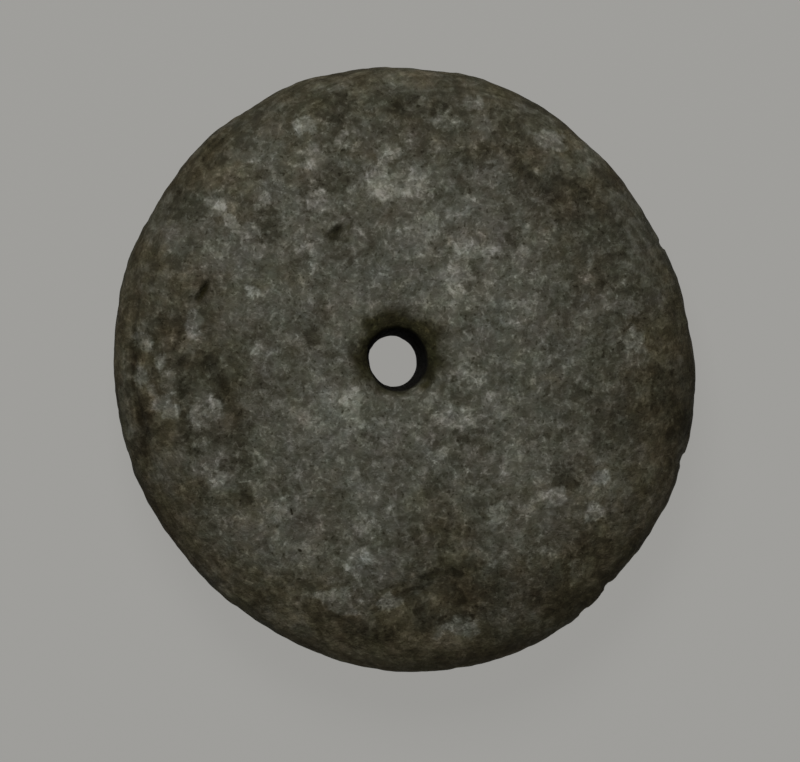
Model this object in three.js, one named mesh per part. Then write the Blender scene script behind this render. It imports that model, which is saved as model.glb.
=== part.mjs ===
// A stone loom weight: a ground, pebble-like disc with a slightly oval outline, bored through from both
// faces. It lies on its underside. +Z is up, +Y is the top of the stone as it hung, and the origin is on
// the underside, in the middle of the outline. Lengths are in millimetres. Bearings are in degrees,
// anticlockwise from +X as seen from above.

import * as THREE from "three";

// Outline, seen from above
const LONG_DIAMETER = 105.2;
const SHORT_DIAMETER = 99.5;
const LONG_DIAMETER_BEARING = 111;

// Section
const THICKNESS = 28;
const RIM_HEIGHT = 13; // of the widest line above the underside
const FACE_FULLNESS = 2.6; // power of the superellipse from the upper face to the rim; 2 is half an ellipse
const UNDERSIDE_ROUNDING = 12; // width of the round-over from the flat underside out to the rim

// The cord hole, bored from both faces to a narrow waist
const WAIST_DIAMETER = 8.6;
const WAIST_HEIGHT = 13;
const MOUTH_DIAMETER = 10.7; // where each bore meets its dish
const BORE_FLARE = 1.5; // power of the widening from waist to mouth; 1 is a plain cone
const DISH_WIDTH = 3.6; // of the ring pecked out around each mouth before boring
const DISH_DEPTH = 1.6;
const HOLE_OVALNESS = 0.04; // share by which the hole's long radius outdoes its mean radius
const HOLE_LONG_BEARING = 122;
const OVAL_FADE = 4; // power by which the ovalness fades from the dish out to the rim

// Middle of the hole at three heights: each bore leans, so that they meet out of line
const UPPER_MOUTH_CENTRE = new THREE.Vector2(-1, 1.5);
const WAIST_CENTRE = new THREE.Vector2(-2.1, 1.25);
const LOWER_MOUTH_CENTRE = new THREE.Vector2(-2.4, 1);

// Hollows in the upper face. length runs along the bearing, and depth is at the middle.
const HOLLOWS = [
  { x: -0.7, y: 7.6, length: 11, width: 13, bearing: 85, depth: 0.9 }, // worn by the cord
  { x: 3.5, y: -39.5, length: 22, width: 9, bearing: 12, depth: 0.9 },
  { x: -38, y: -10, length: 30, width: 8, bearing: 100, depth: 0.6 },
  { x: -9, y: 24, length: 14, width: 9, bearing: 20, depth: 0.4 },
  { x: 33, y: 27, length: 24, width: 13, bearing: 130, depth: 0.5 },
  { x: 27, y: -33, length: 20, width: 9, bearing: 40, depth: 0.6 },
];

// Rubbed flats and chips around the rim. reach is half the arc that each takes, in degrees.
const RIM_FLATS = [
  { bearing: 9, reach: 8, depth: 0.4 },
  { bearing: 33, reach: 19, depth: 0.65 },
  { bearing: 52, reach: 8, depth: 0.4 },
  { bearing: 87, reach: 9, depth: 0.6 },
  { bearing: 101, reach: 10, depth: 0.3 },
  { bearing: 121, reach: 8, depth: 0.45 },
  { bearing: 145, reach: 13, depth: 0.45 },
  { bearing: 219, reach: 9, depth: 0.25 },
  { bearing: 240, reach: 22, depth: 0.35 },
  { bearing: 314, reach: 6, depth: 0.3 },
  { bearing: 322, reach: 25, depth: 0.7 },
  { bearing: 341, reach: 4, depth: 0.4 },
];
const FLAT_FADE = 4; // power by which the flats fade from the rim in to the dish

// Long, shallow waves that grinding left across the upper face
const WAVE_DEPTH = 0.4;
const WAVES = [
  { length: 47, bearing: 20, shift: 0.8 },
  { length: 31, bearing: 105, shift: 2.1 },
  { length: 24, bearing: 160, shift: 4.4 },
];

// Fineness of the faceted surface
const FACETS_AROUND = 108;
const BORE_STEPS = 4; // rows up each bore, from the waist to the mouth
const DISH_STEPS = 4;
const FACE_STEPS = 15; // rows from the upper dish to the rim
const ROUNDING_STEPS = 6; // rows from the rim to the flat underside

const STONE_COLOUR = 0x5b5a51;

const meanRadius = (LONG_DIAMETER + SHORT_DIAMETER) / 4;
const waistRadius = WAIST_DIAMETER / 2;
const mouthRadius = MOUTH_DIAMETER / 2;
const dishRadius = mouthRadius + DISH_WIDTH;

const radians = THREE.MathUtils.degToRad;
const mix = THREE.MathUtils.lerp;

/** The shares 0, 1/count, 2/count and so on, without 1 itself. */
function steps(count) {
  return Array.from({ length: count }, (_, i) => i / count);
}

/** A smooth bump: 1 in the middle, and 0 with no slope from share 1 outwards. */
function bump(share) {
  return share < 1 ? (1 - share ** 2) ** 2 : 0;
}

/** Angle between two bearings, from 0 to 180 degrees. */
function angleBetween(from, to) {
  return Math.abs(THREE.MathUtils.euclideanModulo(to - from + 180, 360) - 180);
}

/** Radius of the plain oval outline at a bearing. */
function ovalRadius(bearing) {
  const turn = radians(bearing - LONG_DIAMETER_BEARING);
  return 0.5 / Math.hypot(Math.cos(turn) / LONG_DIAMETER, Math.sin(turn) / SHORT_DIAMETER);
}

/** How far the flats and chips cut the rim back at a bearing. */
function rimLoss(bearing) {
  return RIM_FLATS.reduce(
    (loss, flat) => loss + flat.depth * bump(angleBetween(flat.bearing, bearing) / flat.reach),
    0,
  );
}

/** Height of the plain upper face, at a share of the way from the middle to the rim. */
function faceHeight(share) {
  const rise = (1 - share ** FACE_FULLNESS) ** (1 / FACE_FULLNESS);
  return mix(RIM_HEIGHT, THICKNESS, rise);
}

/** Rows up one bore and its dish, from the waist to the face, as [radius, depth below the face]. */
function boreRows(waistDepth) {
  const bore = steps(BORE_STEPS).map((share) => [
    mix(waistRadius, mouthRadius, share ** BORE_FLARE),
    mix(waistDepth, DISH_DEPTH, share),
  ]);
  const dish = steps(DISH_STEPS).map((share) => [
    mouthRadius + DISH_WIDTH * share,
    DISH_DEPTH * (1 - share) ** 2,
  ]);
  return [...bore, ...dish];
}

/**
 * Section through one side of the stone: from the waist up over the upper face, round the rim, and back
 * along the underside. Each point is a radius and a height on a plain round stone of the mean radius.
 */
function section() {
  const dishShare = dishRadius / meanRadius;
  const dishTop = faceHeight(dishShare);
  const upperBore = boreRows(dishTop - WAIST_HEIGHT).map(
    ([r, depth]) => new THREE.Vector2(r, dishTop - depth),
  );

  // The superellipse's angle runs down to 0 at the rim, which crowds the rows where it bends most
  const dishAngle = Math.acos(dishShare ** (FACE_FULLNESS / 2));
  const face = steps(FACE_STEPS).map((share) => {
    const reach = Math.cos(dishAngle * (1 - share)) ** (2 / FACE_FULLNESS);
    return new THREE.Vector2(meanRadius * reach, faceHeight(reach));
  });

  const flatRadius = meanRadius - UNDERSIDE_ROUNDING;
  const rounding = steps(ROUNDING_STEPS).map((share) => {
    const angle = (Math.PI / 2) * share;
    return new THREE.Vector2(
      flatRadius + UNDERSIDE_ROUNDING * Math.cos(angle),
      RIM_HEIGHT * (1 - Math.sin(angle)),
    );
  });

  const flat = [flatRadius, (flatRadius + dishRadius) / 2, dishRadius].map((r) => new THREE.Vector2(r, 0));
  const lowerBore = boreRows(WAIST_HEIGHT).map(([r, depth]) => new THREE.Vector2(r, depth));
  return [...upperBore, ...face, ...rounding, ...flat, ...lowerBore.slice(1).reverse()];
}

/** Middle of the hole at a height. */
function holeCentre(height) {
  return height > WAIST_HEIGHT
    ? WAIST_CENTRE.clone().lerp(UPPER_MOUTH_CENTRE, (height - WAIST_HEIGHT) / (THICKNESS - WAIST_HEIGHT))
    : WAIST_CENTRE.clone().lerp(LOWER_MOUTH_CENTRE, 1 - height / WAIST_HEIGHT);
}

/** How much longer than its mean radius the hole's radius is at a bearing, as a factor. */
function holeStretch(bearing) {
  return 1 + HOLE_OVALNESS * Math.cos(2 * radians(bearing - HOLE_LONG_BEARING));
}

/** Depth of one hollow at a place on the face. */
function hollowDepth(hollow, x, y) {
  const angle = radians(hollow.bearing);
  const along = (x - hollow.x) * Math.cos(angle) + (y - hollow.y) * Math.sin(angle);
  const across = (y - hollow.y) * Math.cos(angle) - (x - hollow.x) * Math.sin(angle);
  return hollow.depth * bump(2 * Math.hypot(along / hollow.length, across / hollow.width));
}

/** How far one wave takes the face down at a place: nothing on its crests, WAVE_DEPTH in its troughs. */
function troughDepth(wave, x, y) {
  const angle = radians(wave.bearing);
  const along = x * Math.cos(angle) + y * Math.sin(angle);
  return (WAVE_DEPTH / 2) * (1 - Math.sin((2 * Math.PI * along) / wave.length + wave.shift));
}

/** How far the upper face lies below a plain one at a place. */
function faceLoss(x, y) {
  const hollows = HOLLOWS.reduce((sum, hollow) => sum + hollowDepth(hollow, x, y), 0);
  return WAVES.reduce((sum, wave) => sum + troughDepth(wave, x, y), hollows);
}

/** Carries a point of the plain round section to its place on the real stone, at a bearing. */
function place(point, bearing) {
  const outward = Math.max(0, (point.x - dishRadius) / (meanRadius - dishRadius)); // dish 0, rim 1
  const holeRadius = point.x * mix(1, holeStretch(bearing), (1 - outward) ** OVAL_FADE);
  const stretch = (ovalRadius(bearing) - meanRadius) * outward;
  const radius = holeRadius + stretch - rimLoss(bearing) * outward ** FLAT_FADE;
  const centre = holeCentre(point.y).multiplyScalar(1 - outward);
  const x = centre.x + radius * Math.cos(radians(bearing));
  const y = centre.y + radius * Math.sin(radians(bearing));
  const nearFace = THREE.MathUtils.smoothstep(point.y, RIM_HEIGHT, THICKNESS);
  return new THREE.Vector3(x, y, point.y - nearFace * faceLoss(x, y));
}

/** Closed surface of the stone: each row of the section, carried round all the bearings. */
function stoneGeometry() {
  const rows = section();
  const bearings = steps(FACETS_AROUND).map((share) => 360 * share);
  const points = rows.flatMap((point) => bearings.map((bearing) => place(point, bearing)));

  const index = rows.flatMap((_, row) =>
    bearings.flatMap((_, i) => {
      const next = ((row + 1) % rows.length) * FACETS_AROUND;
      const here = row * FACETS_AROUND;
      const j = (i + 1) % FACETS_AROUND;
      return [here + i, next + i, here + j, here + j, next + i, next + j];
    }),
  );

  const geometry = new THREE.BufferGeometry().setFromPoints(points);
  geometry.setIndex(index);
  geometry.computeBoundingBox();
  const { min, max } = geometry.boundingBox;
  geometry.translate(-(min.x + max.x) / 2, -(min.y + max.y) / 2, 0);
  geometry.computeVertexNormals();
  return geometry;
}

const stone = new THREE.Mesh(
  stoneGeometry(),
  new THREE.MeshStandardMaterial({ color: STONE_COLOUR, roughness: 0.92, metalness: 0 }),
);
stone.name = "loom_weight_stone";

const loomWeight = new THREE.Group();
loomWeight.name = "loom_weight";
loomWeight.add(stone);

export default loomWeight;
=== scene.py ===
"""The stone loom weight, lying on a pale floor and seen from straight above.

Lengths are in millimetres where they describe the stone, and MM turns them into metres. Bearings are in
degrees, anticlockwise from +X as seen from above. Marks on the stone are placed from the middle of its
outline. Colours are linear.
"""

import itertools
import math

import bmesh
import bpy
import numpy as np
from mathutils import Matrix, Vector


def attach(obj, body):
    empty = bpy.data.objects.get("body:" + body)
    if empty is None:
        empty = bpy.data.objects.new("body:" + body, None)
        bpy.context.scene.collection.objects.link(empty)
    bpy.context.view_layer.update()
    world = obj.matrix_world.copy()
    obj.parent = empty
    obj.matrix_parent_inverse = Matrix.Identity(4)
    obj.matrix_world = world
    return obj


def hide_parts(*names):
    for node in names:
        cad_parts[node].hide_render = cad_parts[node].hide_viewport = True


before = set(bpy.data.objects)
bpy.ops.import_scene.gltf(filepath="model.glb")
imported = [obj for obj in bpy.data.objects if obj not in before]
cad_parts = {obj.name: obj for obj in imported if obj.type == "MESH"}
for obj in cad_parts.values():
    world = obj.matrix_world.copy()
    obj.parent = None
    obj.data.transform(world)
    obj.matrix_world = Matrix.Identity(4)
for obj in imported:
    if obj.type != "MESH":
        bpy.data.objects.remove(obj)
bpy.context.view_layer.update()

MM = 0.001
SEED = 7  # each noise adds a number of its own to this

# Heights above the underside
RIM_HEIGHT = 13  # of the widest line
RIM_BLEND = 3  # over which the upper half's marks fade out below the rim
THICKNESS = 28

# Fineness of the stone's mesh
WELD = 0.001  # points nearer than this become one
MESH_GRAIN = 0.54  # width of a quad
NOISE_GRID = 64  # cells along each side of the block of random values behind the noise

# Unevenness of the ground and pecked surface, as (blob size, height)
UNEVENNESS = [(11.0, 0.13), (5.0, 0.09), (2.4, 0.11), (1.2, 0.09)]
PECKS = {"spacing": 2.4, "width": 2.0, "depth": 0.12}

# Flake scars and knocks: small round scoops, each with a crisp edge. z is only roughly where it lies.
SCARS = [
    {"x": 48.8, "y": -11.4, "z": 16, "width": 2.6, "depth": 0.2},
    {"x": 35.0, "y": -37.4, "z": 13, "width": 3.6, "depth": 0.55},
    {"x": 33.4, "y": -39.4, "z": 12, "width": 2.6, "depth": 0.3},
    {"x": -9.6, "y": -50.6, "z": 13, "width": 3.0, "depth": 0.2},
    {"x": -38.6, "y": 33.6, "z": 15, "width": 4.0, "depth": 0.25},
    {"x": -11.4, "y": 22.9, "z": 27, "width": 2.4, "depth": 0.45},
    {"x": -9.6, "y": 25.0, "z": 27, "width": 2.0, "depth": 0.35},
]

# Notches that cut the rim back from top to bottom
NOTCHES = [
    {"bearing": 25.8, "width": 2.2, "depth": 0.3},
    {"bearing": 306.5, "width": 2.6, "depth": 0.3},
    {"bearing": 313.2, "width": 2.2, "depth": 0.3},
    {"bearing": 342.1, "width": 2.8, "depth": 0.35},
]
NOTCH_REACH = 5  # how far in from the outline a notch fades out

# Narrow slots and pits in the face, darkened inside by a brown stain and by painted shade; the two along
# the scarp paint the shade of its edge. length runs along the bearing.
SLOTS = [
    {"x": -34.4, "y": 13.1, "length": 6.0, "width": 1.7, "bearing": 58, "depth": 1.2, "stain_and_shade": 1.0},
    {"x": -19.2, "y": -24.3, "length": 1.8, "width": 1.2, "bearing": 106, "depth": 0.5, "stain_and_shade": 0.4},
    {"x": -1.5, "y": -37.1, "length": 8, "width": 1.5, "bearing": 17, "depth": 0.3, "stain_and_shade": 0.5},
    {"x": 5.0, "y": -35.3, "length": 9, "width": 1.7, "bearing": 15, "depth": 0.3, "stain_and_shade": 0.55},
    {"x": -11.8, "y": 23.0, "length": 4.6, "width": 2.4, "bearing": 50, "depth": 0.6, "stain_and_shade": 0.75},
    {"x": -9.5, "y": 24.1, "length": 1.9, "width": 1.4, "bearing": 100, "depth": 0.4, "stain_and_shade": 0.8},
]

# The step across the lower face: the stone drops away from the line on its far side from the hole
SCARP = {"x": 1.6, "y": -36.6, "length": 17.0, "bearing": 18, "drop": 0.55, "slope": 2.2, "ledge": 7.0}

# The furrow that follows the left rim, painted darker along its bottom: painted shade in the crease
FURROW = {"from": 160, "to": 205, "inset": 3.4, "width": 2.2, "depth": 0.4, "painted_shade": 0.2}

# Dirt and painted shade all over the bore, and a brown stain with painted shade over the dish around its
# upper mouth, set towards the dish's upper wall, which faces away from the light
BORE_MIDDLE = (-1.4, 1.5)
BORE_RADIUS = 5.2
DISH_MIDDLE = (-1.0, 3.2)
DISH_HALVES = (7.8, 7.5)
DISH_STAIN_AND_SHADE = 0.95
FACE_LEVEL = 25.6  # where the bore's dirt and painted shade begin, above the underside

# Patches of paler, rubbed stone and of darker stone, as (x, y, width, height). The dark ones near the
# right-hand edge are partly painted shade, for the less light that falls there.
PALE_PATCHES = [
    (-17, 42, 3, 2.5), (-15, 36.5, 4.5, 2.5), (-11, 38.5, 1.5, 2), (-4, 31, 4.5, 5.5), (-2.5, 36.5, 3, 2),
    (2.5, 31.5, 2.5, 4), (-14.5, 28.5, 3.5, 4), (-24, 28, 1.5, 3), (-32.2, 27.6, 1.2, 1.5),
    (-29.4, 25, 1.2, 1), (-27, 23.5, 3, 2), (-15, 19, 2, 3), (-25.5, 13, 2.5, 2), (-44.6, 4.4, 2, 2.5),
    (-44.8, -1, 1.5, 3.5), (-43, -3.6, 1.5, 1.5), (-41.4, -5.6, 2.5, 2), (-39.4, -7.2, 2, 1.2),
    (-41.6, 1.2, 1, 3), (-36, 7, 1.5, 4), (-32.4, -7, 2.5, 3), (-35.6, -7.8, 1.5, 4),
    (-25.5, 4, 1.5, 1.5), (-33.5, -14.5, 3, 4), (-27, -14.5, 2, 2), (-31.5, -18.5, 2.5, 2.5),
    (6.5, 42.5, 2.5, 2), (11.5, 45.5, 2.5, 1.5), (25, 39, 3.5, 2), (12.5, 20, 4.5, 3.5),
    (9.5, 16.5, 4.5, 3.5), (11, -1, 4.5, 3), (9, -8, 6, 2), (37.5, 11, 4.5, 2.5), (40, 4, 4, 4.5),
    (33.5, -18, 3.5, 2.5), (25.5, -22, 4, 2.5), (32, -24, 2.5, 2.5), (-12.5, -39, 10.5, 2.5),
    (-2.5, -39.5, 3.5, 2), (9, -44.5, 5, 3.5), (-7.5, -32, 4.5, 4), (-7, -27, 2.5, 2.5),
    (16, -24, 2.5, 2.5), (5.5, -14.5, 2, 2.5), (-9, -6.5, 2.5, 5.5), (30, -35, 2, 2),
]
DARK_PATCHES = [
    (-12.5, 44.5, 5.5, 3.5), (-25, 33.5, 2.5, 2.5), (-22.5, 24.5, 4.5, 4.5), (-11, 23.5, 3.5, 2.5),
    (-11.5, 32.5, 4, 3), (-32, 37, 2.5, 3), (-37.5, 27.5, 4.5, 4), (1, 45, 4.5, 2.5), (6, 44.5, 2.5, 1.5),
    (18, 38.5, 4, 6), (12.5, 35.5, 6, 3), (26, 31.5, 6, 3.5), (29.5, 29.5, 3.5, 2.5),
    (34.5, 33.5, 2.5, 4.5), (18, 22.5, 2.5, 2.5), (-46.6, 2, 1, 5), (-46.6, -3.5, 0.8, 3),
    (-45, -6.5, 1.2, 3), (-43.6, -9.5, 2.5, 2.5), (-37.8, -2.6, 1, 5), (-34.6, 0.6, 3, 3),
    (-31.6, -3.4, 3, 2.5), (-27.8, -9.7, 2.5, 4.5), (-37.6, -10.2, 0.8, 4), (-27.6, -16, 2, 2),
    (-40.5, 6.5, 4.5, 3), (-35.5, -15, 2, 3), (-34.5, -21, 3.5, 3), (-27, -21.8, 1.5, 2),
    (-19.5, -20.8, 1.5, 1.5), (-45, -13.5, 1.5, 4.5), (10, -33, 6, 3), (3.5, -42, 10.5, 3),
    (32, -29.5, 5.5, 2.5), (-13.5, -41.5, 5, 1.5), (-4, -45.5, 5, 3), (27, -17.5, 5, 3),
    (10, -11.5, 3, 2.5), (44.5, -3.5, 4, 8.5), (47, -9.5, 2.5, 3.5), (34.5, 17, 3.5, 4.5),
    (-15.5, 5.5, 2.5, 2.5),
]

PATCH_MARGIN = 0.9  # over which each patch frays out

# Broad, soft areas of paler or darker stone, as (x, y, width, height, change of tone). The darker areas
# towards the right and lower right are partly painted shade, for the less light that falls there.
TONE_AREAS = [
    (11, -37.5, 17, 9, -0.28), (28, -37.5, 15, 10, -0.16), (4, -28, 13, 9, -0.16),
    (35, -11, 12, 11, -0.12), (38, -2, 16, 30, -0.06), (39.5, 11, 13, 11, -0.2),
    (32.5, 24.6, 13, 8, -0.2), (20.6, 30, 6, 6, -0.2), (-30.5, -2, 8, 14, -0.2),
    (-33.5, -12.4, 13, 5, -0.26), (43, -8, 9, 14, -0.1), (8.3, 41.2, 7, 6, -0.16),
    (27.6, -4.5, 9, 8, -0.13), (29.5, 13.2, 8, 7, -0.13), (29.4, -32, 6, 5, -0.18),
    (7, -1.5, 7, 10, -0.11), (47, -3, 6, 26, -0.1), (45.3, -17, 5, 6, -0.12), (16, -46.5, 14, 7, -0.14),
    (7, -21.8, 8, 7, -0.08), (33.2, -13.8, 5, 5, -0.12), (39, -28.8, 6, 6, -0.16),
    (-27, -14.5, 5, 6, -0.12), (-21.2, -21.3, 6, 5, -0.14), (7, 12, 15, 9, 0.2), (3.5, 23.5, 11, 12, 0.2),
    (34.8, 34, 9, 9, 0.14), (44, 20.5, 6, 9, 0.12), (-23, 35.6, 8, 8, 0.14), (-39, 23.5, 7, 9, 0.12),
    (-7.5, 12.5, 9, 9, 0.12), (-13.5, -6, 11, 12, 0.16), (-24, -25.5, 15, 9, 0.15),
    (-21, -42, 20, 13, 0.15), (-47.2, -7.8, 4, 10, 0.12), (20, -16.8, 14, 8, 0.13),
    (15.7, 12.7, 10, 9, 0.13), (-29.5, 19.5, 11, 12, 0.15), (32.5, -22, 12, 7, 0.14),
    (1, -11, 13, 7, 0.13), (-17.3, -20, 10, 13, 0.12), (-37.6, -1.8, 4.5, 6, -0.16), (1, 50, 13, 6, 0.12),
    (-46, 2.7, 5, 12, 0.14), (-32.3, -37, 8, 7, 0.14), (-16.8, -30, 9, 7, 0.11), (-31.5, 33, 9, 9, 0.14),
    (14, 26.4, 8, 7, 0.12), (19.6, 9, 6, 6, 0.13), (31, 38.4, 6, 6, 0.12), (20, -37.5, 7, 6, -0.12),
    (-12.5, -48.5, 9, 5, 0.15), (14, -6.4, 8, 8, 0.16), (-6, -21.6, 6, 6, 0.14), (38.8, 1.3, 5, 6, 0.13),
    (16.2, 40.9, 6, 5, 0.12), (-26.8, 4.4, 6, 7, -0.17), (-23.6, 43.5, 6, 5, -0.12),
    (8.9, -45.4, 7, 5, 0.15), (-15.5, 42.5, 7, 8, 0.11), (-9.2, -13.8, 6, 6, 0.1), (-1, 31.5, 10, 8, 0.1),
    (-23.8, -39.6, 10, 7, -0.13), (-12, -44.2, 12, 6, -0.12), (24.5, -39.8, 9, 6, -0.12),
]

# Broad, soft areas of browner or less brown stone, as (x, y, width, height, change of the brown's share)
BROWN_AREAS = [
    (9, -36.5, 18, 11, 0.32), (-2, -49, 36, 9, 0.3), (32, -36, 14, 12, 0.15), (9, -25, 14, 13, 0.2),
    (-2.5, -40.5, 9, 7, 0.3), (41, 24, 16, 24, -0.22), (-36, 26, 18, 16, -0.28), (-22, 36, 10, 10, -0.18),
    (-22, -30, 12, 11, -0.15), (-14.5, -4.7, 9, 9, -0.15), (11, 42, 24, 12, -0.2),
    (-7, 47.5, 26, 6, -0.2), (-39.5, -17.5, 10, 9, -0.25), (32, -23.5, 9, 8, -0.15),
    (32, 37, 9, 9, -0.15), (35, 4, 11, 11, -0.2), (25, -36, 6, 6, -0.2), (-38.5, -30, 12, 9, 0.18),
    (-29, -3, 8, 20, 0.15), (32, 24, 9, 13, -0.2), (-28.5, -39.2, 10, 5, 0.2), (-43.4, -22, 6, 8, 0.13),
    (41, -7, 7, 11, 0.13), (-14.5, 37.5, 9, 8, -0.17), (-3, 40, 13, 6, -0.2), (45, 9, 5, 9, 0.13),
    (-47.5, -3, 4, 16, -0.15),
]

# Pale scratches in the upper face, as (x, y, length, width, bearing)
SCRATCHES = [
    (20.3, 8.2, 4.2, 0.5, 18), (31.1, 28.3, 4.0, 0.35, 73), (33.8, 22.4, 2.2, 0.4, 172),
    (35.1, 21.8, 1.4, 0.4, 130), (27.9, 21.4, 2.4, 0.35, 121), (-44.8, -7.3, 4.0, 0.3, 17),
    (-27.3, -19.2, 3.0, 0.35, 8), (11.8, -17.6, 6.5, 0.5, 175), (20.6, -25.0, 3.0, 0.5, 172),
]

# The darkest small pits in the upper face, given likewise. Their darkness is painted shade, in place of
# the shade down in them.
PIT_SHADES = [(-19.2, -24.3, 1.7, 0.5, 106), (2.4, 44.9, 1.2, 0.9, 10), (-17.8, -30.9, 1.1, 0.7, 150)]

MARK_REACH = 12  # how far above and below the upper face a scratch or a pit shows

# Colours of the stone, from its darkest grains to its palest
STONE_COLOURS = [
    (0.0, (0.026, 0.023, 0.013, 1)),
    (0.3, (0.075, 0.071, 0.049, 1)),
    (0.55, (0.150, 0.147, 0.116, 1)),
    (0.78, (0.280, 0.275, 0.232, 1)),
    (1.0, (0.460, 0.455, 0.405, 1)),
]
FLECK_BEARINGS = (8, 44, 79, 117, 153)
BUMP_HEIGHT = 0.3  # of the finest relief

# How far inside the outline the rim's darkening, and the streaks along its edge, begin and are full
RIM_FADE = (24, 2)
EDGE_FADE = (9, 1)

# What the stone keeps of its red, green and blue. Faint tints mottle it all over, from the least share
# up by the swing, and the others are for where it is brown, where it is stained and painted with shade in
# its slots, pits and dish, and where the bore is dirty and painted with shade.
TINT_LEAST = (0.867, 0.917, 0.832)
TINT_SWING = (0.26, 0.16, 0.28)
BROWNING = (0.94, 0.835, 0.66)
STAINING_AND_SHADING = (0.27, 0.25, 0.11)
DIRTYING_AND_SHADING = (0.075, 0.062, 0.012)

# The stage
FLOOR_SIZE = 3000
FLOOR_COLOUR = (0.06, 0.06, 0.058, 1)
FLOOR_GLOW = (0.318, 0.314, 0.300, 1)
ROOM_GLOW = 0.085  # strength of the even light from all sides
CAMERA_HEIGHT = 1200
PHOTO_SIZE = (800, 762)  # pixels
PIXELS_PER_MM = 5.81  # at the stone's rim
MIDDLE_IN_PHOTO = (404.2, 369.1)  # of the stone's outline, in pixels
SENSOR_WIDTH = 36

# Inputs of a node that mixes colours, and its output, which share their names with those for numbers
MIX_SHARE, MIX_FIRST, MIX_SECOND, MIX_RESULT = 0, 6, 7, 2


def smooth_noise(points, size, seed):
    """Noise from -1 to 1 with blobs of a size: random values on a cubic grid, eased between them."""
    random = np.random.default_rng(seed)
    grid = random.uniform(-1, 1, (NOISE_GRID,) * 3)
    turn = np.linalg.qr(random.normal(size=(3, 3)))[0]
    scaled = points @ turn / size
    cell = np.floor(scaled).astype(int)
    share = scaled - cell
    share = share * share * (3 - 2 * share)
    total = np.zeros(len(points))
    for corner in itertools.product((0, 1), repeat=3):
        weight = np.prod(np.where(corner, share, 1 - share), axis=1)
        total += weight * grid[tuple(((cell + corner) % NOISE_GRID).T)]
    return total


def ease(value, low, high):
    """0 at low, 1 at high, and smooth between them."""
    share = np.clip((value - low) / (high - low), 0, 1)
    return share * share * (3 - 2 * share)


def along_and_across(points, mark):
    """Each point's distance along a mark's bearing and across it, from the mark's middle."""
    turn = math.radians(mark["bearing"])
    east, north = points[:, 0] - mark["x"], points[:, 1] - mark["y"]
    along = east * math.cos(turn) + north * math.sin(turn)
    across = north * math.cos(turn) - east * math.sin(turn)
    return along, across


def reach_of(points, middle, halves):
    """How far out each point lies on an oval seen from above: 0 in its middle and 1 on its edge."""
    return np.linalg.norm((points[:, :2] - middle) / halves, axis=1)


def even_mesh(node):
    """A new mesh of a node's form, its facets rounded over and then divided into small even quads."""
    draft = bpy.data.objects.new("draft", node.data.copy())
    bpy.context.scene.collection.objects.link(draft)
    shell = bmesh.new()
    shell.from_mesh(draft.data)
    bmesh.ops.remove_doubles(shell, verts=shell.verts, dist=WELD * MM)
    bmesh.ops.join_triangles(
        shell, faces=shell.faces, angle_face_threshold=math.pi, angle_shape_threshold=math.pi
    )
    shell.to_mesh(draft.data)
    shell.free()
    rounded = draft.modifiers.new("rounded", "SUBSURF")
    rounded.levels = rounded.render_levels = 2
    divided = draft.modifiers.new("divided", "REMESH")
    divided.mode = "VOXEL"
    divided.voxel_size = MESH_GRAIN * MM
    divided.use_smooth_shade = True
    mesh = bpy.data.meshes.new_from_object(draft.evaluated_get(bpy.context.evaluated_depsgraph_get()))
    bpy.data.objects.remove(draft)
    return mesh


def points_of(mesh):
    """The mesh's points, in millimetres."""
    flat = np.empty(len(mesh.vertices) * 3)
    mesh.vertices.foreach_get("co", flat)
    return flat.reshape(-1, 3) / MM


def normals_of(mesh):
    """The way that the surface faces at each of the mesh's points."""
    flat = np.empty(len(mesh.vertices) * 3)
    mesh.vertices.foreach_get("normal", flat)
    return flat.reshape(-1, 3)


def set_points(mesh, points):
    mesh.vertices.foreach_set("co", (points * MM).ravel())
    mesh.update()


def bearing_of(points):
    """Each point's bearing from the middle of the outline, from 0 to 360."""
    return np.degrees(np.arctan2(points[:, 1], points[:, 0])) % 360


def inset_of(points):
    """How far inside the outline each point lies, seen from above."""
    bearing = bearing_of(points)
    radius = np.hypot(points[:, 0], points[:, 1])
    reach = np.zeros(360)
    np.maximum.at(reach, bearing.astype(int), radius)
    return np.interp(bearing, np.arange(360) + 0.5, reach, period=360) - radius


def upper_share(points):
    """1 from the rim up and 0 a little below it."""
    return ease(points[:, 2], RIM_HEIGHT - RIM_BLEND, RIM_HEIGHT)


def scoop(points, normals, scar):
    """Pushes the points inside a ball back to its surface, where the ball dips into the stone."""
    nearest = np.argmin(np.linalg.norm(points - [scar["x"], scar["y"], scar["z"]], axis=1))
    radius = (scar["width"] ** 2 / 4 + scar["depth"] ** 2) / (2 * scar["depth"])
    centre = points[nearest] + normals[nearest] * (radius - scar["depth"])
    offset = points - centre
    distance = np.linalg.norm(offset, axis=1, keepdims=True)
    return centre + offset * np.maximum(1, radius / distance)


def slot_share(points, slot):
    """1 down in a slot and 0 outside it."""
    along, across = along_and_across(points, slot)
    ragged = 0.15 * smooth_noise(points, 1.2, SEED + 24)
    reach = np.hypot(2 * along / slot["length"], 2 * across / slot["width"]) + ragged
    return 1 - ease(reach, 0.4, 1.05)


def scarp_depth(points):
    """Below the scarp's line the face drops, and it comes back up over the width of the ledge."""
    along, across = along_and_across(points, SCARP)
    wander = 0.9 * smooth_noise(points, 4, SEED + 20)
    drop = ease(-across + wander, 0, SCARP["slope"]) * (1 - ease(-across, SCARP["slope"], SCARP["ledge"]))
    ends = 1 - ease(np.abs(along), 0.3 * SCARP["length"], 0.55 * SCARP["length"])
    return SCARP["drop"] * drop * ends


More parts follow.
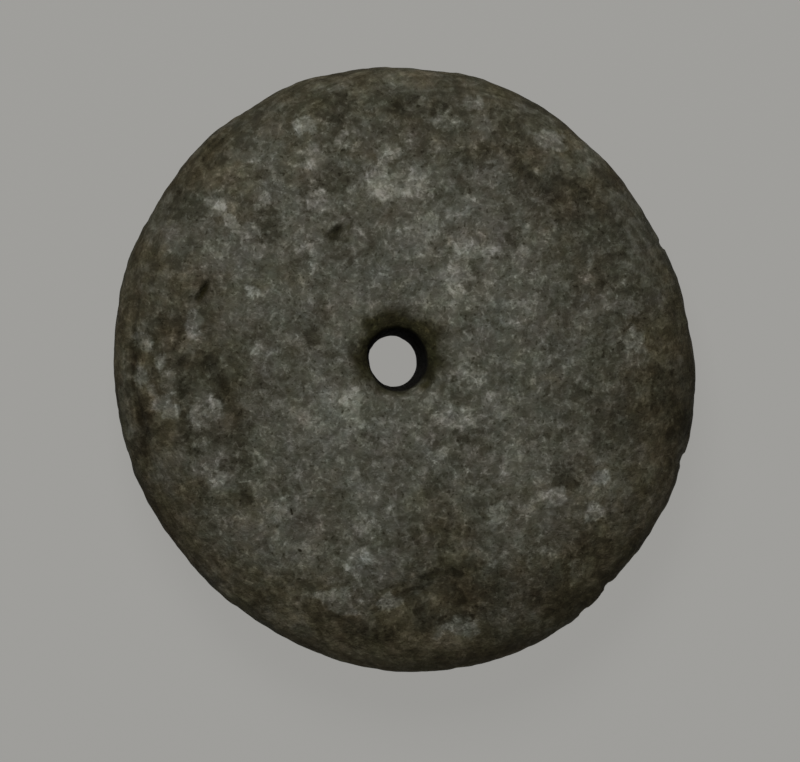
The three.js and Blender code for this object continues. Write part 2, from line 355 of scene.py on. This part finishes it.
def furrow_share(points):
    """1 along the bottom of the furrow and 0 outside it."""
    middle, half = (FURROW["from"] + FURROW["to"]) / 2, (FURROW["to"] - FURROW["from"]) / 2
    ends = 1 - ease(np.abs(bearing_of(points) - middle), 0.6 * half, half)
    wander = 0.5 * smooth_noise(points, 5, SEED + 21)
    away = np.abs(inset_of(points) - FURROW["inset"] + wander)
    return upper_share(points) * ends * (1 - ease(away, 0, FURROW["width"] / 2))


def notch_depth(points):
    """How far the notches take the rim back."""
    fade = 1 - ease(inset_of(points), 0.5, NOTCH_REACH)
    depth = np.zeros(len(points))
    for notch in NOTCHES:
        apart = (bearing_of(points) - notch["bearing"] + 180) % 360 - 180
        away = np.abs(np.radians(apart)) * np.hypot(points[:, 0], points[:, 1])
        depth += notch["depth"] * (1 - ease(away, 0.2 * notch["width"], notch["width"] / 2)) * fade
    return depth


def peck_depth(points):
    """Small dents, one at a random place in each cell of a cubic grid."""
    random = np.random.default_rng(SEED + 30)
    places = random.uniform(0.15, 0.85, (NOISE_GRID,) * 3 + (3,))
    depths = random.uniform(-0.6, 1, (NOISE_GRID,) * 3).clip(0)
    cell = np.floor(points / PECKS["spacing"]).astype(int)
    deepest = np.zeros(len(points))
    for step in itertools.product((-1, 0, 1), repeat=3):
        near = cell + step
        at = tuple((near % NOISE_GRID).T)
        away = np.linalg.norm(points - (near + places[at]) * PECKS["spacing"], axis=1)
        deepest = np.maximum(deepest, depths[at] * (1 - ease(away, 0, PECKS["width"] / 2)))
    return PECKS["depth"] * deepest


def work_surface(mesh):
    """Gives the smooth form its scars, slots, scarp, furrow and notches, and the look of pecked stone."""
    points, normals = points_of(mesh), normals_of(mesh)
    for scar in SCARS:
        points = scoop(points, normals, scar)
    marks = scarp_depth(points) + FURROW["depth"] * furrow_share(points)
    marks += sum(slot["depth"] * slot_share(points, slot) for slot in SLOTS)
    depth = marks * ease(normals[:, 2], 0.0, 0.5) + notch_depth(points) + peck_depth(points)
    for i, (size, height) in enumerate(UNEVENNESS):
        depth += height * smooth_noise(points, size, SEED + i)
    lying = ease(-normals[:, 2], 0.8, 0.98)  # the flat underside keeps its level
    points -= normals * (depth * (1 - lying))[:, None]
    points[:, 2] = np.maximum(points[:, 2], 0)
    set_points(mesh, points)


def patch_share(points, patches, seed):
    """1 in the patches and 0 outside them, with ragged edges, on the stone's upper half alone."""
    ragged = 0.55 * smooth_noise(points, 3.2, seed) + 0.45 * smooth_noise(points, 1.4, seed + 1)
    share = np.zeros(len(points))
    for x, y, width, height in patches:
        reach = reach_of(points, (x, y), (width / 2 + PATCH_MARGIN, height / 2 + PATCH_MARGIN))
        share = np.maximum(share, 1 - ease(reach + ragged, 0.3, 1.4))
    return share * upper_share(points)


def change_over(points, areas, seed):
    """How much the broad areas change the stone at each point."""
    ragged = 0.2 * smooth_noise(points, 5, seed) + 0.12 * smooth_noise(points, 2, seed + 1)
    total = np.zeros(len(points))
    for x, y, width, height, change in areas:
        reach = reach_of(points, (x, y), (width / 2, height / 2))
        total += change * (1 - ease(reach + ragged, 0.2, 1.3))
    return total * upper_share(points)


def dirt_and_shade_of(points):
    """How much dirt and painted shade: 1 in the bore and 0 elsewhere."""
    ragged = 0.14 * smooth_noise(points, 2.0, SEED + 50)
    bore = reach_of(points, BORE_MIDDLE, BORE_RADIUS) + ragged
    return (1 - ease(bore, 1.0, 1.4)) * ease(FACE_LEVEL - points[:, 2], 0, 1.5)


def stain_and_shade_of(points):
    """How far the slots and the upper dish are darkened by brown stain and painted shade, from 0 to 1."""
    ragged = 0.16 * smooth_noise(points, 2.0, SEED + 50) + 0.1 * smooth_noise(points, 0.9, SEED + 51)
    dish = DISH_STAIN_AND_SHADE * (1 - ease(reach_of(points, DISH_MIDDLE, DISH_HALVES) + ragged, 0.8, 1.2))
    slots = np.max([slot["stain_and_shade"] * slot_share(points, slot) for slot in SLOTS], axis=0)
    return np.maximum(dish, slots) * (points[:, 2] > RIM_HEIGHT)


class Shade:
    """One socket of a material's nodes. Python's operators on it add Math nodes."""

    def __init__(self, finish, socket):
        self.finish, self.socket = finish, socket

    def maths(self, operation, *values):
        return self.finish.add("ShaderNodeMath", {"operation": operation}, dict(enumerate(values)))

    def __add__(self, other):
        return self.maths("ADD", self, other)

    def __sub__(self, other):
        return self.maths("SUBTRACT", self, other)

    def __mul__(self, other):
        return self.maths("MULTIPLY", self, other)

    def __rsub__(self, other):
        return self.maths("SUBTRACT", other, self)

    __radd__, __rmul__ = __add__, __mul__

    def eased(self, low, high):
        """0 at low, 1 at high, and smooth between them. low may be the larger."""
        sockets = {"Value": self, "From Min": low, "From Max": high}
        return self.finish.add("ShaderNodeMapRange", {"interpolation_type": "SMOOTHSTEP"}, sockets)


class Finish:
    """A material while it is being made."""

    def __init__(self, name):
        self.material = bpy.data.materials.new(name)
        self.material.use_nodes = True
        self.nodes, self.links = self.material.node_tree.nodes, self.material.node_tree.links
        self.shader = self.nodes["Principled BSDF"]
        self.place = self.add("ShaderNodeTexCoord", output="Object")

    def add(self, kind, settings=None, sockets=None, output=0):
        """Adds a node with its settings and its sockets' values or links, and returns one output."""
        node = self.nodes.new(kind)
        for name, value in (settings or {}).items():
            setattr(node, name, value)
        for name, value in (sockets or {}).items():
            self.feed(node.inputs[name], value)
        return Shade(self, node.outputs[output])

    def feed(self, socket, value):
        if isinstance(value, Shade):
            self.links.new(value.socket, socket)
        else:
            socket.default_value = value

    def surface(self, **values):
        """Sets the shader's own sockets: Base_Color stands for Base Color."""
        for name, value in values.items():
            self.feed(self.shader.inputs[name.replace("_", " ")], value)

    def noise(self, size, detail=2, rough=0.5, warp=0.0, output="Fac"):
        """Noise around 0.5, with its largest blobs about size across, in millimetres."""
        sockets = {"Vector": self.place, "Scale": 1 / (size * MM), "Detail": detail, "Roughness": rough}
        return self.add("ShaderNodeTexNoise", None, {**sockets, "Distortion": warp}, output)

    def cells(self, size, warp):
        """Cells about size across, in millimetres, each of a random colour."""
        sway = self.noise(size, output="Color")
        place = self.vector("MULTIPLY_ADD", sway, (2 * warp * MM,) * 3, self.place)
        sockets = {"Vector": place, "Scale": 1 / (size * MM)}
        return self.add("ShaderNodeTexVoronoi", None, sockets, output="Color")

    def streaks(self, length, width, bearing, warp):
        """Noise drawn out along a bearing, in blobs of about length by width, in millimetres."""
        turned = {"Vector": self.place, "Angle": -math.radians(bearing)}
        turned = self.add("ShaderNodeVectorRotate", {"rotation_type": "Z_AXIS"}, turned)
        place = self.vector("MULTIPLY", turned, (1 / (length * MM), 1 / (width * MM), 1 / (width * MM)))
        sockets = {"Vector": place, "Scale": 1, "Detail": 1, "Distortion": warp}
        return self.add("ShaderNodeTexNoise", None, sockets)

    def along_rim(self, length, width):
        """Noise drawn out along the rim, in blobs of about length by width, in millimetres."""
        across = self.add("ShaderNodeCombineXYZ", None, {"X": self.attribute("inset") * (1 / width)})
        place = self.vector("MULTIPLY_ADD", self.place, (1 / (length * MM),) * 3, across)
        sockets = {"Vector": place, "Scale": 1, "Detail": 2, "Distortion": 0.3}
        return self.add("ShaderNodeTexNoise", None, sockets)

    def mark(self, x, y, length, width, bearing):
        """1 along a narrow mark in the upper face and 0 elsewhere."""
        offset = self.vector("SUBTRACT", self.place, (x * MM, y * MM, THICKNESS * MM))
        turned = {"Vector": offset, "Angle": -math.radians(bearing)}
        turned = self.add("ShaderNodeVectorRotate", {"rotation_type": "Z_AXIS"}, turned)
        halves = (length / 2 * MM, width / 2 * MM, MARK_REACH * MM)
        reach = self.vector("LENGTH", self.vector("DIVIDE", turned, halves), output="Value")
        return reach.eased(1.0, 0.5)

    def vector(self, operation, *values, output=0):
        return self.add("ShaderNodeVectorMath", {"operation": operation}, dict(enumerate(values)), output)

    def toned(self, colour, share, factor):
        """A colour, multiplied by factor as far as share says."""
        settings = {"data_type": "RGBA", "blend_type": "MULTIPLY"}
        sockets = {MIX_SHARE: share, MIX_FIRST: colour, MIX_SECOND: (*factor, 1)}
        return self.add("ShaderNodeMix", settings, sockets, MIX_RESULT)

    def attribute(self, name):
        return self.add("ShaderNodeAttribute", {"attribute_name": name}, output="Fac")

    def ramp(self, share, stops):
        """A colour ramp over stops of place and colour."""
        shade = self.add("ShaderNodeValToRGB", None, {"Fac": share})
        elements = shade.socket.node.color_ramp.elements
        for element, (place, colour) in zip(elements, (stops[0], stops[-1])):
            element.position, element.color = place, colour
        for place, colour in stops[1:-1]:
            elements.new(place).color = colour
        return shade


def fine_grain(stone, crystals, clumping):
    """How much the crystals, pale flecks, pores and pale grains change the tone of the stone."""
    streaks = [stone.streaks(2.0, 0.62, bearing, warp=0.25) for bearing in FLECK_BEARINGS]
    flecks = sum((streak + clumping).eased(0.62, 0.72) for streak in streaks)
    pores = stone.noise(0.6, detail=0).eased(0.3, 0.21)
    grains = stone.noise(0.55, detail=0).eased(0.72, 0.8)
    return 0.08 * flecks + 0.15 * crystals - 0.2 * pores + 0.15 * grains


def stone_colour(stone, tone, brown):
    """The stone's colour from its tone, mottled with faint tints, then browned, and darkened where it is
    stained and painted with shade in its slots and dish, and dirty and painted with shade in its bore.
    """
    hue = stone.noise(6.0, detail=3, rough=0.8, output="Color")
    tint = stone.vector("MULTIPLY_ADD", hue, TINT_SWING, TINT_LEAST)
    colour = stone.vector("MULTIPLY", stone.ramp(tone, STONE_COLOURS), tint)
    colour = stone.toned(colour, brown, BROWNING)
    # brown stain and painted shade in the slots, pits and upper dish
    colour = stone.toned(colour, stone.attribute("stain_and_shade"), STAINING_AND_SHADING)
    # dirt and painted shade over the bore
    return stone.toned(colour, stone.attribute("dirt_and_shade"), DIRTYING_AND_SHADING)


def ground_stone():
    """Olive-grey stone, finely grained: paler where it is rubbed, darker and browner around the rim."""
    stone = Finish("ground stone")
    rim = stone.attribute("inset").eased(*RIM_FADE)
    edge = stone.attribute("inset").eased(*EDGE_FADE)
    blotches = stone.noise(5.0, detail=4, rough=0.65, warp=0.5).eased(0.36, 0.64) - 0.5
    mottle = stone.noise(2.2, detail=3, rough=0.7, warp=0.6) - 0.5
    patches = stone.noise(1.7, detail=3, rough=0.6, warp=0.8).eased(0.46, 0.6)
    crystals = stone.cells(1.1, warp=0.6) - 0.5
    frays = 0.8 * mottle + 0.4 * crystals
    pale = (stone.attribute("pale") + frays).eased(0.2, 0.85)
    dark = (stone.attribute("dark") - frays).eased(0.2, 0.85)

    fine = fine_grain(stone, crystals, clumping=0.05 * patches + 0.2 * mottle + 0.04 * pale)
    tone = 0.39 + 0.18 * blotches + 0.42 * mottle + 0.12 * patches + fine * (1.0 - 0.5 * edge)
    tone += pale * (0.09 + 0.2 * stone.noise(1.6, detail=3, rough=0.7)) - 0.19 * dark
    tone += stone.attribute("tone") - 0.08 * rim + 0.5 * edge * (stone.along_rim(7.0, 0.9) - 0.5)
    tone += 0.22 * sum(stone.mark(*scratch) for scratch in SCRATCHES) * (0.3 + patches)
    # painted shade in the pits
    tone -= 0.5 * sum(stone.mark(*pit_shade) for pit_shade in PIT_SHADES)
    brown = stone.noise(9.0, detail=3, rough=0.7) + 0.3 * rim - 0.2 * pale + stone.attribute("brown")
    colour = stone_colour(stone, tone, brown.eased(0.5, 0.95))

    relief = stone.noise(0.9, detail=3, rough=0.7)
    bump = stone.add("ShaderNodeBump", None, {"Height": relief, "Distance": BUMP_HEIGHT * MM})
    stone.surface(Base_Color=colour, Roughness=0.92, Specular_IOR_Level=0.2, Normal=bump)
    return stone.material


def pale_floor():
    """Pale matt paper, lit mostly from below, so that it hardly shows a shadow."""
    floor = Finish("pale floor")
    floor.surface(Base_Color=FLOOR_COLOUR, Roughness=1.0, Specular_IOR_Level=0.0)
    floor.surface(Emission_Color=FLOOR_GLOW, Emission_Strength=1.0)
    return floor.material


def mark_points(mesh, name, values):
    mesh.attributes.new(name, "FLOAT", "POINT").data.foreach_set("value", values.astype(np.float32))


def add_stone():
    """The visible stone, in place of the plain solid."""
    mesh = even_mesh(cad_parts["loom_weight_stone"])
    work_surface(mesh)
    points = points_of(mesh)
    mark_points(mesh, "inset", inset_of(points))
    mark_points(mesh, "pale", patch_share(points, PALE_PATCHES, SEED + 40))
    mark_points(mesh, "dark", patch_share(points, DARK_PATCHES, SEED + 44))
    # the furrow's bottom painted darker: painted shade in the crease
    tone = change_over(points, TONE_AREAS, SEED + 48) - FURROW["painted_shade"] * furrow_share(points)
    mark_points(mesh, "tone", tone)
    mark_points(mesh, "brown", change_over(points, BROWN_AREAS, SEED + 60))
    mark_points(mesh, "stain_and_shade", stain_and_shade_of(points))
    mark_points(mesh, "dirt_and_shade", dirt_and_shade_of(points))
    mesh.materials.clear()
    mesh.materials.append(ground_stone())
    stone = bpy.data.objects.new("ground_stone", mesh)
    bpy.context.scene.collection.objects.link(stone)
    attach(stone, "root")
    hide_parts("loom_weight_stone")


def add_floor():
    bpy.ops.mesh.primitive_plane_add(size=FLOOR_SIZE * MM)
    floor = bpy.context.object
    floor.name = "floor"
    floor.data.materials.append(pale_floor())
    floor.visible_diffuse = False


def add_camera():
    """Straight above the stone, with the stone where the photograph has it."""
    camera = bpy.data.cameras.new("camera")
    camera.sensor_width = SENSOR_WIDTH
    camera.lens = PIXELS_PER_MM * (CAMERA_HEIGHT - RIM_HEIGHT) / PHOTO_SIZE[0] * SENSOR_WIDTH
    seat = bpy.data.objects.new("camera", camera)
    right = (PHOTO_SIZE[0] / 2 - MIDDLE_IN_PHOTO[0]) / PIXELS_PER_MM
    up = (MIDDLE_IN_PHOTO[1] - PHOTO_SIZE[1] / 2) / PIXELS_PER_MM
    seat.location = Vector((right, up, CAMERA_HEIGHT)) * MM
    bpy.context.scene.collection.objects.link(seat)
    bpy.context.scene.camera = seat


def add_light(name, bearing, elevation, distance, size, watts):
    """A square soft light, aimed at the stone."""
    light = bpy.data.lights.new(name, "AREA")
    light.energy, light.size = watts, size * MM
    lamp = bpy.data.objects.new(name, light)
    turn, rise = math.radians(bearing), math.radians(elevation)
    way = Vector((math.cos(turn) * math.cos(rise), math.sin(turn) * math.cos(rise), math.sin(rise)))
    lamp.location = way * distance * MM
    lamp.rotation_euler = way.to_track_quat("Z", "Y").to_euler()
    bpy.context.scene.collection.objects.link(lamp)


def light_stage():
    """A soft light high over the stone's top, a faint low one at its foot, and an even glow all round."""
    world = bpy.data.worlds.new("studio")
    world.use_nodes = True
    glow = world.node_tree.nodes["Background"]
    glow.inputs["Color"].default_value = (1, 1, 1, 1)
    glow.inputs["Strength"].default_value = ROOM_GLOW
    bpy.context.scene.world = world
    add_light("window_light", bearing=102, elevation=57, distance=1300, size=550, watts=8.3)
    add_light("low_light", bearing=290, elevation=6, distance=1300, size=250, watts=0.6)
    bpy.context.scene.view_settings.view_transform = "Standard"


add_stone()
add_floor()
add_camera()
light_stage()
